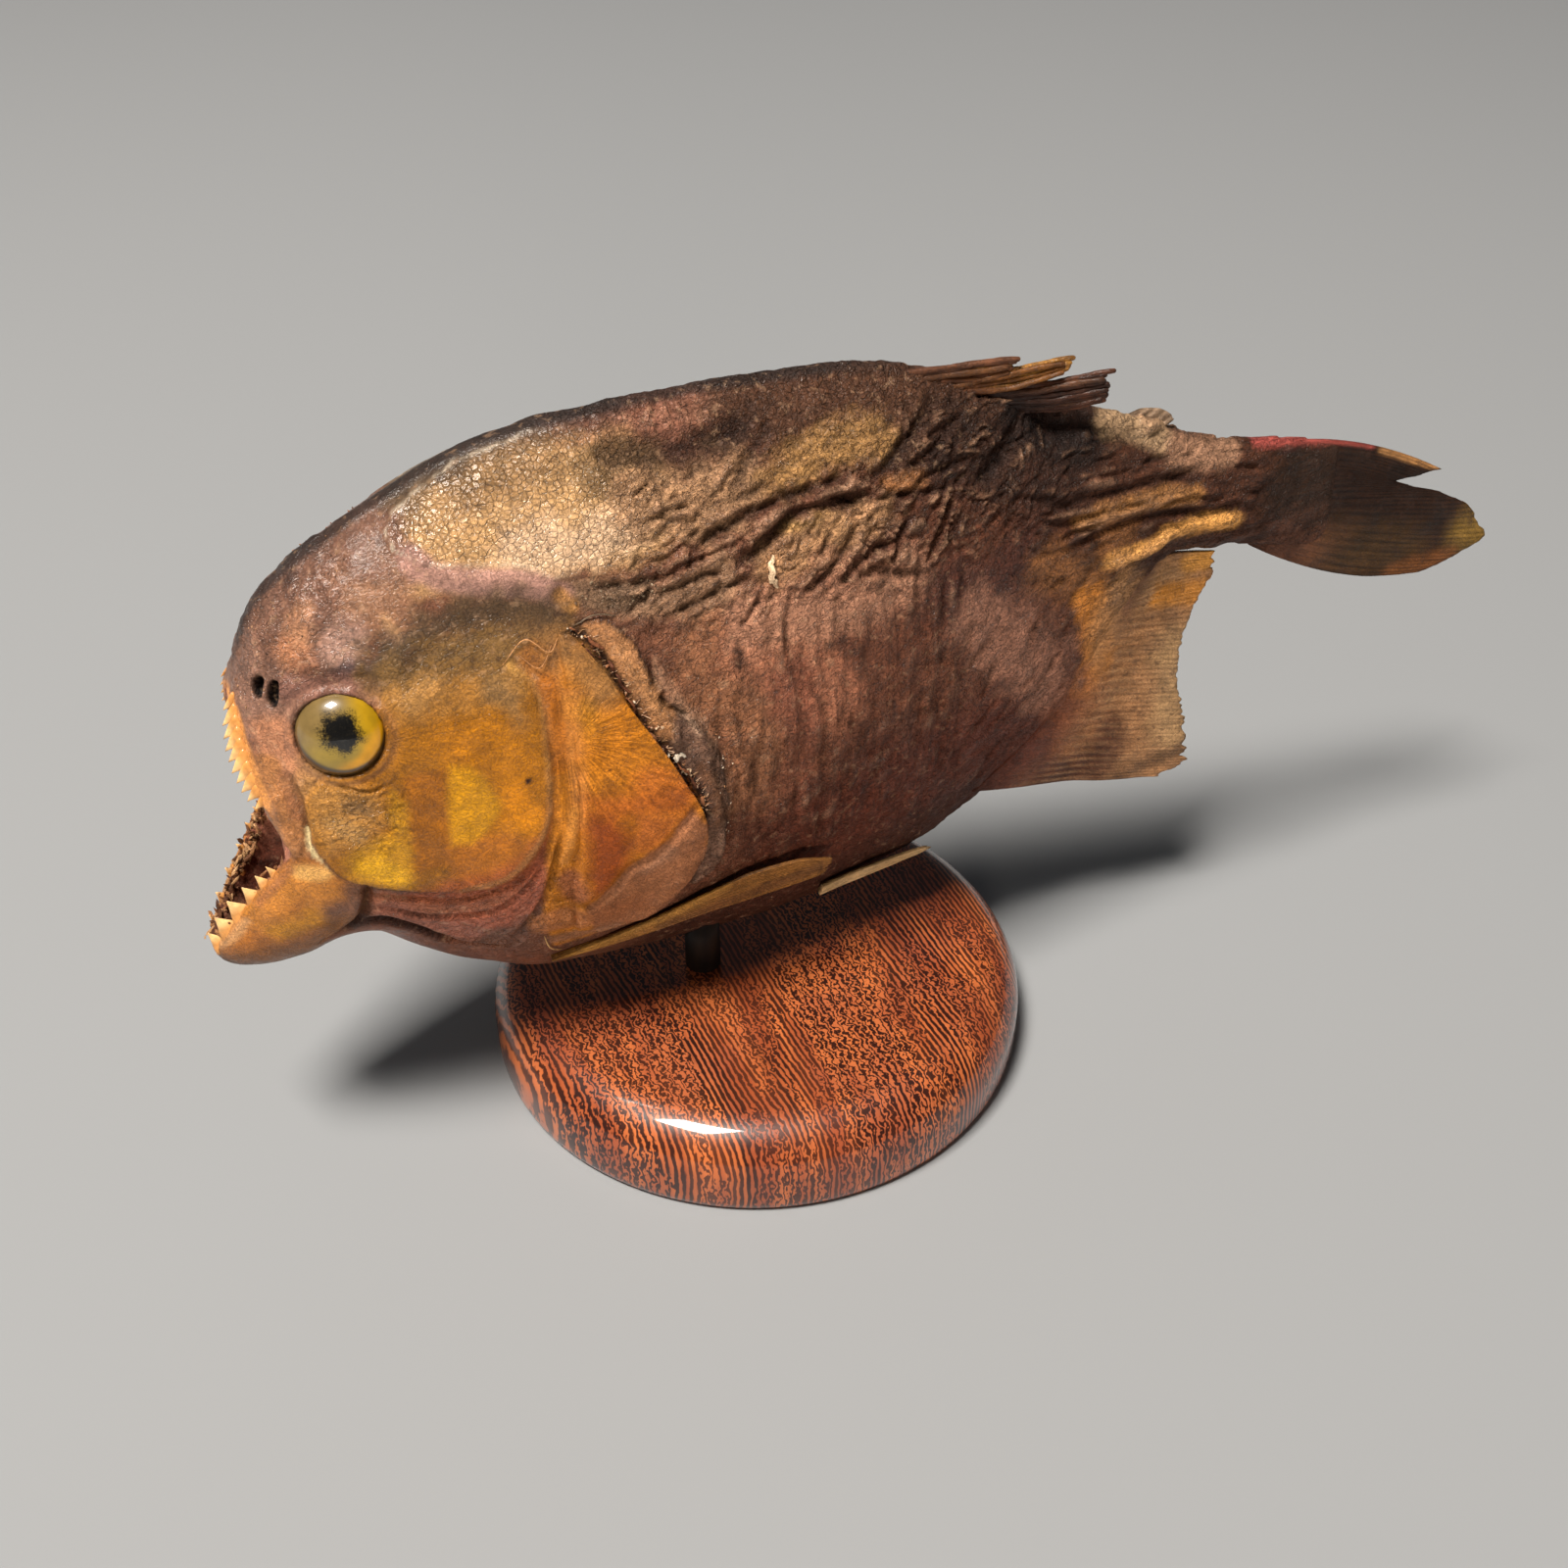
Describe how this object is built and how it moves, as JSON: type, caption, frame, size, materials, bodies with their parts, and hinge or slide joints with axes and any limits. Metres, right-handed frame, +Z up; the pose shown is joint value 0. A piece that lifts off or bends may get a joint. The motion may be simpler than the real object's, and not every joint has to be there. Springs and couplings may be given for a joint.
{
  "type": "mounted dried piranha on a turned wood disc",
  "caption": "Dried piranha with gaping toothed jaws, trimmed fins and glass eyes, held by a short dark peg on a round turned and varnished wood disc.",
  "frame": {"origin": "centre of the wood disc's underside", "axes": "+X along the fish towards its tail, -Y the fish's left side, +Z up from the table"},
  "size_m": [0.1899, 0.076, 0.0979],
  "materials": {
    "varnished_wood": "figured red-brown hardwood with fine dark wavy dashes under glossy varnish",
    "dark_peg": "near-black stained dowel under glossy varnish",
    "head_skin": "dried skin over bone, purple-brown above and golden on the cheek, satin varnish",
    "jaw_skin": "tan to ochre dried skin over the jaw, cream teeth, satin",
    "golden_plate": "thin dried gill plate, orange-gold with fine radial lines, satin varnish",
    "body_skin": "wrinkled dried scaly skin, dark brown with purple and gold-brown patches, dull satin",
    "dried_fin": "stiff dried fin with ridged rays and a ragged edge, dull",
    "glass_eye": "polished glass dome over an olive-yellow iris and a soft black pupil"
  },
  "bodies": {
    "root": {"base_disc": "varnished_wood", "base_peg": "dark_peg", "head": "head_skin", "lower_jaw": "jaw_skin", "gill_cover_left": "golden_plate", "gill_cover_right": "golden_plate", "torso": "body_skin", "tail_stalk": "body_skin", "eye_left": "glass_eye", "eye_right": "glass_eye", "dorsal_fin": "dried_fin", "adipose_fin": "dried_fin", "anal_fin": "dried_fin", "caudal_fin": "dried_fin", "pectoral_fin_left": "dried_fin", "pectoral_fin_right": "dried_fin", "pelvic_fin_left": "dried_fin", "pelvic_fin_right": "dried_fin"}
  },
  "joints": []
}
